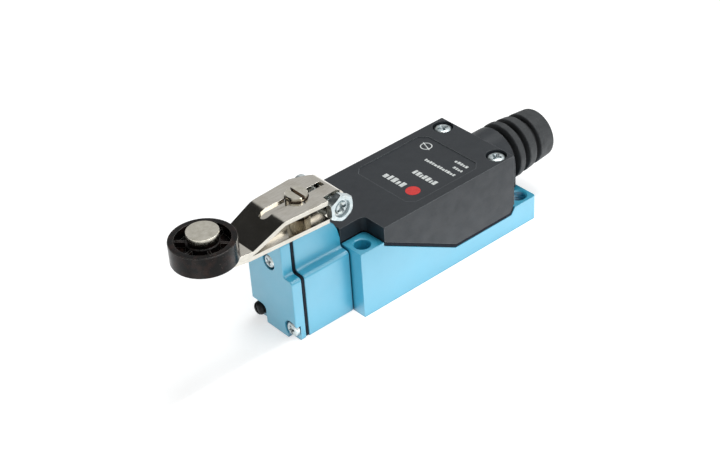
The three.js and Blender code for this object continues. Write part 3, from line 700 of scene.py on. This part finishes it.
def label_print():
    rows = [
        (-7.7, 2.1, -3.3, 0.45, (1.3, 0.9, 1.4, 1.0, 1.3)),
        (-1.2, 1.8, -8.6, 0.35, (1.1, 0.6, 1.1, 1.0, 0.6, 1.1, 0.9)),
        (5.2, 1.0, -9.3, 0.24, (0.6, 0.7, 1.0, 0.5, 0.9, 0.6, 0.7, 1.0, 0.6, 0.7, 0.8, 0.5)),
        (7.9, 0.9, -9.4, 0.24, (0.5, 0.7, 0.6, 0.7)),
        (10.2, 1.0, -9.1, 0.24, (0.8, 0.6, 0.7, 0.9, 0.7)),
    ]
    piece("print_rows", bars(rows), "white_ink", [])
    centre = (10.3, 6.6)
    ring = cut(cylinder("Z", centre, 1.7, *PRINT), cylinder("Z", centre, 1.4, LABEL_FLOOR - 1, LABEL_FLOOR + 1))
    arm = moved(
        prism(rectangle(-2.1, 2.1, -0.15, 0.15, 0.1), "Z", *PRINT),
        Matrix.Translation((*centre, 0)) @ Matrix.Rotation(math.radians(70), 4, "Z"))
    piece("print_symbol", join(ring, arm), "white_ink", [])
    dot = cylinder("Z", (-6.7, -6.6), 2.0, *PRINT)
    piece("print_dot", dot, "red_ink", [])


# ---------------------------------------------------------------- actuator head
def head_section(x0, x1, inset=0.0):
    half, tower = HEAD_HALF - inset, TOWER_HALF - inset
    outline = rounded([
        (-half, inset, 0.8), (half, inset, 0.8), (half, SHOULDER - inset, 1.0), (tower, SHOULDER - inset, 0.9),
        (tower, HEAD_TOP - inset, 0.8), (-tower, HEAD_TOP - inset, 0.8), (-tower, SHOULDER - inset, 0.9),
        (-half, SHOULDER - inset, 1.0)], 6)
    return prism([(y + MECHANISM_Y, z) for y, z in outline], "X", x0, x1)


def head_body():
    relief = [
        (HEAD_X1, 21.8), (HEAD_X1 - 0.7, 24.9), (HEAD_X1 - 1.6, 26.9), (HEAD_X1 - 3.5, HEAD_TOP + 0.01),
        (HEAD_X1 + 1, HEAD_TOP + 1), (HEAD_X1 + 1, 21.8)]
    body = cut(head_section(HEAD_X0, HEAD_X1), prism(relief, "Y", -12, 12))
    body = soften(body, 0.25, 38)
    chamber = [(y + MECHANISM_Y, z) for y, z in rectangle(-5.4, 5.4, 4.6, 18.6, 1.2)]
    return cut(
        body, prism(chamber, "X", HEAD_X0 - 1, -34.2),
        cylinder("X", (MECHANISM_Y, CHAIN_Z), CHAIN_BORE_R, -36, HEAD_X1 + 1),
        cylinder("Z", (SHAFT_X, MECHANISM_Y), 4.25, 17.5, HEAD_TOP + 1))


CAP_SCREWS = {
    "top": dict(y=0.0, z=21.3, radius=1.9, height=1.4, shank=1.2, turned=30),
    "near": dict(y=-6.85, z=3.4, radius=2.05, height=1.4, shank=1.2, turned=12),
    "far": dict(y=6.2, z=3.2, radius=1.9, height=2.3, shank=1.15, turned=25),
}
CAP_FLOOR = CAP_X0 + 1.5          # floor of the cap's screw recesses


def head_cap():
    body = soften(head_section(CAP_X0, CAP_X1), 0.3, 60)
    top, near = CAP_SCREWS["top"], CAP_SCREWS["near"]
    notch = rounded([(3.3, -4, 0), (14, -4, 0), (14, 5.6, 0), (3.3, 5.6, 1.6)])
    near_y, near_z = near["y"] + MECHANISM_Y, near["z"]
    body = cut(
        body,
        cylinder("X", (top["y"] + MECHANISM_Y, top["z"]), 2.35, CAP_X0 - 1, CAP_FLOOR),
        join(
            cylinder("X", (near_y, near_z), 2.6, CAP_X0 - 1, CAP_FLOOR),
            box(CAP_X0 - 1, CAP_FLOOR, near_y - 4, near_y + 1.6, -1, near_z - 1.6)),
        prism([(y + MECHANISM_Y, z) for y, z in notch], "X", CAP_X0 - 1, CAP_FLOOR))
    return soften(body, 0.15, 62, 2)


def cap_screws():
    for name, s in CAP_SCREWS.items():
        black = name == "far"
        body = screw(s["radius"], s["height"], s["shank"], 4, slotted=black, turned=s["turned"])
        turn = Matrix.Rotation(math.radians(-90), 4, "Y")
        seat = Matrix.Translation((CAP_FLOOR - 0.15, s["y"] + MECHANISM_Y, s["z"]))
        surface = "black_steel" if black else "zinc"
        piece(f"screw_cap_{name}", moved(body, seat @ turn), surface, [f"cap_screw_{name}"])


# ---------------------------------------------------------------- shaft, lever and roller
def lever_shaft():
    """Knurled between the leaves of the lever, with a slotted end above them."""
    centre = (SHAFT_X, MECHANISM_Y)
    teeth = 44
    rim = []
    for k in range(2 * teeth):
        turn = math.pi * k / teeth
        radius = SHAFT_R if k % 2 else SHAFT_R - 0.22
        rim.append((centre[0] + radius * math.cos(turn), centre[1] + radius * math.sin(turn)))
    knurl = prism(rim, "Z", LEVER_LOW, LEVER_TOP + 0.05)
    stem = cylinder("Z", centre, SHAFT_R - 0.05, 2.4, LEVER_LOW + 0.1)
    end = lathe([
        (LEVER_TOP, 0), (LEVER_TOP, 2.7), (LEVER_TOP + 0.35, 2.7), (LEVER_TOP + 0.45, SHAFT_R - 0.05),
        (SHAFT_TOP - 0.2, SHAFT_R - 0.05), (SHAFT_TOP, SHAFT_R - 0.25), (SHAFT_TOP, 0)], "Z", centre, 64)
    body = join(knurl, stem, end)
    slot = box(SHAFT_X - 0.5, SHAFT_X + 0.5, -6, 6, SHAFT_TOP - 1.0, SHAFT_TOP + 1)
    return cut(body, slot)


def lever_side():
    """Side outline of the folded strap, and of the space between its leaves."""
    middle = (LEVER_LOW + LEVER_TOP) / 2
    outer = (LEVER_TOP - LEVER_LOW) / 2
    inner = outer - SHEET
    fall = math.atan((LEVER_TOP - JOINED) / (KNEE_X - TOE_X))
    front = ROLLER_X - 8
    half_turn = [math.pi * (k / 24 - 0.5) for k in range(25)]
    outside = [(front, LEVER_LOW)]
    outside += [(BEND_X + outer * math.cos(t), middle + outer * math.sin(t)) for t in half_turn]
    bend = 6.0
    tangent = bend * math.tan(fall / 2)
    for k in range(7):
        turn = fall * k / 6
        outside.append((KNEE_X + tangent - bend * math.sin(turn), LEVER_TOP - bend * (1 - math.cos(turn))))
    outside += [(TOE_X, JOINED), (front, JOINED)]
    shift = SHEET * math.tan(fall / 2)
    inside = [(BEND_X + inner * math.cos(t), middle + inner * math.sin(t)) for t in half_turn]
    inside += [(KNEE_X + shift, LEVER_TOP - SHEET), (TOE_X + shift + 1.2, JOINED - SHEET + 0.5),
               (TOE_X + shift - 0.6, LEVER_LOW + SHEET + 0.02)]
    return outside, inside


def lever_plan():
    nose = 4.0
    outline = [
        (ROLLER_X + nose * math.cos(t), nose * math.sin(t))
        for t in [math.pi * (0.5 + k / 24) for k in range(25)]]
    outline += [
        (NECK_X, -NECK_HALF), (BEND_X - 3.9, -7.4), (BEND_X - 3.7, -5.2), (BEND_X + 0.5, -4.9),
        (BEND_X + 5, -4.9), (BEND_X + 5, 4.9), (BEND_X + 0.9, 4.9), (BEND_X - 2.75, 6.6),
        (BEND_X - 4.6, 7.35), (NECK_X, NECK_HALF)]
    return [(x, y + MECHANISM_Y) for x, y in outline]


def lever_arm():
    outside, inside = lever_side()
    body = cut(prism(outside, "Y", -12, 12), prism(inside, "Y", -13, 13))
    body = meet(body, prism(lever_plan(), "Z", LEVER_LOW - 1, LEVER_TOP + 1))
    slit, half, end = 0.95, 1.5, SHAFT_X - 10
    middle = (LEVER_LOW + LEVER_TOP) / 2
    slot = [(SHAFT_X, -half), (SHAFT_X, half)] + [
        (end + half * math.cos(t), half * math.sin(t)) for t in [math.pi * (0.5 + k / 12) for k in range(13)]]
    body = cut(
        body, cylinder("Z", (SHAFT_X, MECHANISM_Y), SHAFT_R + 0.12, LEVER_LOW - 1, LEVER_TOP + 1),
        box(SHAFT_X, BEND_X + 0.3, MECHANISM_Y - slit, MECHANISM_Y + slit, LEVER_LOW - 1, LEVER_TOP + 1),
        prism([(x, y + MECHANISM_Y) for x, y in slot], "Z", middle, LEVER_TOP + 1))
    return soften(body, 0.14, 40, 2)


def clamp_bolt():
    """Hexagon head with a chamfered face, a round dish and a cross recess, on a threaded shank."""
    face, seat = -8.4 + MECHANISM_Y, -6.3 + MECHANISM_Y
    centre = (BOLT_X, BOLT_Z)
    corner_r = 3.92
    hexagon = [
        (BOLT_X + corner_r * math.cos(t), BOLT_Z + corner_r * math.sin(t))
        for t in [math.pi * (0.5 + k / 3) for k in range(6)]]
    head = meet(
        prism(hexagon, "Y", face, seat),
        lathe([(face, 0), (face, 3.45), (face + 0.25, corner_r), (seat - 0.25, 4.0), (seat, 3.8), (seat, 0)],
              "Y", centre, 96))
    dish = lathe([
        (face - 1, 0), (face - 1, 2.5), (face, 2.5), (face + 0.75, 2.3), (face + 0.8, 1.85), (face + 0.3, 1.6),
        (face + 0.15, 0.9), (face + 0.15, 0)], "Y", centre, 64)
    head = cut(soften(head, 0.08, 30, 2), dish)
    recess = moved(
        cross_recess(1.6, 0.2, 1.1),
        Matrix.Translation((BOLT_X, face + 0.35, BOLT_Z)) @ Matrix.Rotation(math.radians(90), 4, "X")
        @ Matrix.Rotation(math.radians(18), 4, "Z"))
    head = cut(head, recess)
    end, pitch = 9.2 + MECHANISM_Y, 0.7
    profile = [(seat - 0.1, 0), (seat - 0.1, 1.45)]
    for k in range(int((end - seat - 0.6) / pitch)):
        start = seat + k * pitch
        profile += [(start + 0.05, 1.22), (start + pitch / 2, 1.5)]
    profile += [(end - 0.3, 1.4), (end, 1.2), (end, 0)]
    return join(head, lathe(profile, "Y", centre, 48))


def clamp_nut():
    low, high = 7.1 + MECHANISM_Y, 8.8 + MECHANISM_Y
    return lathe([(low, 1.65), (low, 2.2), (low + 0.1, 2.3), (high - 0.25, 2.3), (high, 2.1), (high, 1.65)],
                 "Y", (BOLT_X, BOLT_Z), 48)


def roller_rivet():
    low, top = corners("roller_rivet")[2], corners("roller_rivet")[5]
    under = 38.5
    profile = [
        (low, 0), (low, 2.9), (low + 0.3, 3.2), (LEVER_LOW - 0.15, 3.2), (LEVER_LOW - 0.15, 2.0), (under, 2.0),
        (under, 4.02), (under + 0.12, 4.15), (top - 0.12, 4.15), (top - 0.03, 4.12), (top, 4.03), (top, 0)]
    return lathe(profile, "Z", (ROLLER_X + 0.15, MECHANISM_Y - 0.15), 96)


def roller():
    """Rim and hub joined by a web, with ribs in the recess on top."""
    _, _, z0, _, _, z1 = corners("roller")
    centre = (ROLLER_X, MECHANISM_Y)
    outer, rim, hub, web = 8.6, 6.95, 4.3, z1 - 2.6
    profile = [
        (z0, 2.3), (z0, hub), (z0 + 0.8, hub), (z0 + 0.8, rim), (z0, rim + 0.1), (z0, outer - 0.3),
        (z0 + 0.09, outer - 0.09), (z0 + 0.3, outer), (z1 - 0.26, outer), (z1 - 0.08, outer - 0.08),
        (z1, outer - 0.26), (z1, rim + 0.16), (z1 - 0.05, rim + 0.05), (z1 - 0.2, rim), (web, rim - 0.1),
        (web, hub + 0.1), (z1 - 0.68, hub + 0.02), (z1 - 0.5, hub - 0.16), (z1 - 0.5, 2.3)]
    wheel = lathe(profile, "Z", centre, 128)
    for k in range(6):
        rib = prism(rectangle(hub - 0.4, rim + 0.3, -0.4, 0.4, 0.1), "Z", web - 0.3, z1 - 1.1)
        turn = Matrix.Translation((*centre, 0)) @ Matrix.Rotation(math.radians(60 * k + 12), 4, "Z")
        wheel = join(wheel, moved(rib, turn))
    return wheel


# ---------------------------------------------------------------- cable entry
def cable_boot():
    """Sleeve of three tapering rings on a thin core, its mouth at the far end."""
    x0, _, _, x1, _, _ = corners("cable_boot")
    groove = 6.1
    rings = [(31.6, 8.3, 33.7, 8.3), (35.7, 8.0, 38.6, 7.75), (40.4, 7.55, x1, 7.15)]
    profile = [(x0, 5.3), (x0, groove)]
    for start, start_r, end, end_r in rings:
        lip = 0.35 if end < x1 else 0.7
        profile.append((start - 0.15, groove))
        for k in range(5):
            turn = math.pi / 2 * k / 4
            profile.append((start + 0.35 * (1 - math.cos(turn)), start_r - 0.35 + 0.35 * math.sin(turn)))
        for k in range(5):
            turn = math.pi / 2 * k / 4
            profile.append((end - lip + lip * math.sin(turn), end_r - lip + lip * math.cos(turn)))
        if end < x1:
            profile.append((end + 0.15, groove))
    profile += [(x1, 3.6), (x1 - 0.3, 3.3), (37.9, 3.3), (37.9, 5.3)]
    return lathe(profile, "X", (0, GLAND_Z), 96)


def button_pin():
    """Straight pin of the snap switch, with a reduced nose that enters the spring of the contacts."""
    low, _, _, high, _, _ = corners("switch_button")
    profile = [
        (low, 0), (low, 1.4), (low + 0.2, 1.6), (high - 1.75, 1.6), (high - 1.65, 1.3), (high - 0.15, 1.3),
        (high, 1.15), (high, 0)]
    return lathe(profile, "X", (MECHANISM_Y, CHAIN_Z), 48)


# ---------------------------------------------------------------- pieces
def make_pieces():
    piece("base_casting", base_housing(), "blue_paint", ["base_housing"])
    piece("cover_shell", cover(), "black_plastic", ["cover"])
    cover_screws()
    label_print()
    piece("head_casting", head_body(), "blue_paint", ["head_body"])
    piece("head_end_cap", head_cap(), "blue_paint", ["head_cap"])
    cap_screws()
    piece("shaft_knurled", lever_shaft(), "steel", ["lever_shaft"], "lever")
    piece("lever_strap", lever_arm(), "nickel_sheet", ["lever_arm"], "lever", sharp=15)
    piece("bolt_hexagon", clamp_bolt(), "zinc", ["clamp_bolt"], "lever")
    piece("nut_round", clamp_nut(), "zinc", ["clamp_nut"], "lever")
    piece("rivet_flat", roller_rivet(), "steel", ["roller_rivet"], "lever")
    piece("roller_wheel", roller(), "gloss_plastic", ["roller"], "roller")
    piece("boot_ribbed", cable_boot(), "rubber", ["cable_boot"])
    piece("button_pin", button_pin(), "white_plastic", ["switch_button"], "button")


def dress_cad_nodes():
    """Gives every CAD node that still shows the material of its slot."""
    for part in frame["record"]["subparts"]:
        node = frame["nodes"][part["node"]]
        node.data.materials.clear()
        node.data.materials.append(SURFACES[part["material_slot"]])


# ---------------------------------------------------------------- stage
def make_camera():
    azimuth, elevation, roll = (math.radians(angle) for angle in (-38.748, 35.126, -4.053))
    back = Vector((math.sin(azimuth) * math.cos(elevation), -math.cos(azimuth) * math.cos(elevation),
                   math.sin(elevation)))
    level = Vector((math.cos(azimuth), math.sin(azimuth), 0))
    right = math.cos(roll) * level + math.sin(roll) * back.cross(level)
    up = back.cross(right)
    data = bpy.data.cameras.new("camera")
    data.lens = 86.66
    data.clip_start = 0.01
    data.clip_end = 50
    camera = bpy.data.objects.new("camera", data)
    camera.matrix_world = (
        Matrix.Translation((-0.2520, -0.2893, 0.2775)) @ Matrix((right, up, back)).transposed().to_4x4())
    scene.collection.objects.link(camera)
    scene.camera = camera


def make_floor():
    """White paper lit from beneath, most strongly in a band along the near side."""
    mesh = bmesh.new()
    bmesh.ops.create_grid(mesh, x_segments=1, y_segments=1, size=6)
    floor = as_object(mesh)
    floor.name = "floor"
    floor.location.z = -0.0002
    s = Surface("floor", 0.9)
    colour = s.mix(s.noise(400), tone(205, 205, 205), tone(202, 203, 203))
    place_on_floor = s.nodes.new("ShaderNodeSeparateXYZ")
    s.links.new(s.space, place_on_floor.inputs[0])
    along, across = place_on_floor.outputs["X"], place_on_floor.outputs["Y"]
    band = s.math("MULTIPLY", s.spread(across, -0.044, -0.034), s.spread(across, -0.006, -0.02))
    ends = s.math("MULTIPLY", s.spread(along, -0.16, -0.1), s.spread(along, 0.12, 0.08))
    band = s.math("MULTIPLY", band, ends)
    s.shader.inputs["Emission Color"].default_value = (1, 1, 1, 1)
    s.links.new(s.spread(band, 0, 1, 0.58, 1.65), s.shader.inputs["Emission Strength"])
    floor.data.materials.append(s.finish(colour))


def add_softbox(name, location, size, power, target=(0, 0, 0.015)):
    data = bpy.data.lights.new(name, "AREA")
    data.shape = "RECTANGLE"
    data.size, data.size_y = size
    data.energy = power
    light = bpy.data.objects.new(name, data)
    light.location = location
    light.rotation_euler = (Vector(target) - Vector(location)).to_track_quat("-Z", "Y").to_euler()
    scene.collection.objects.link(light)


def make_sky():
    """Bright all round, with a dark patch high up behind, as of a dark ceiling over a light tent."""
    world = bpy.data.worlds.new("studio")
    world.use_nodes = True
    scene.world = world
    nodes, links = world.node_tree.nodes, world.node_tree.links
    direction = nodes.new("ShaderNodeTexCoord").outputs["Generated"]
    towards = nodes.new("ShaderNodeVectorMath")
    towards.operation = "DOT_PRODUCT"
    links.new(direction, towards.inputs[0])
    towards.inputs[1].default_value = Vector((-0.35, 0.6, 0.72)).normalized()
    bright_from, dark_within = 38, 31
    ramp = nodes.new("ShaderNodeValToRGB")
    stops = ramp.color_ramp
    stops.elements[0].position = math.cos(math.radians(bright_from))
    stops.elements[0].color = (1, 1, 1, 1)
    stops.elements[1].position = math.cos(math.radians(dark_within))
    stops.elements[1].color = (0.045, 0.045, 0.045, 1)
    links.new(towards.outputs["Value"], ramp.inputs["Fac"])
    background = nodes["Background"]
    links.new(ramp.outputs["Color"], background.inputs["Color"])
    background.inputs["Strength"].default_value = 0.6


def make_stage():
    make_camera()
    make_floor()
    make_sky()
    add_softbox("key", (0.35, -0.75, 0.65), (0.6, 0.6), 3)
    add_softbox("top", (0.35, 0.1, 1.0), (0.5, 0.5), 4.8)
    scene.view_settings.view_transform = "Standard"


make_stage()
make_pieces()
dress_cad_nodes()
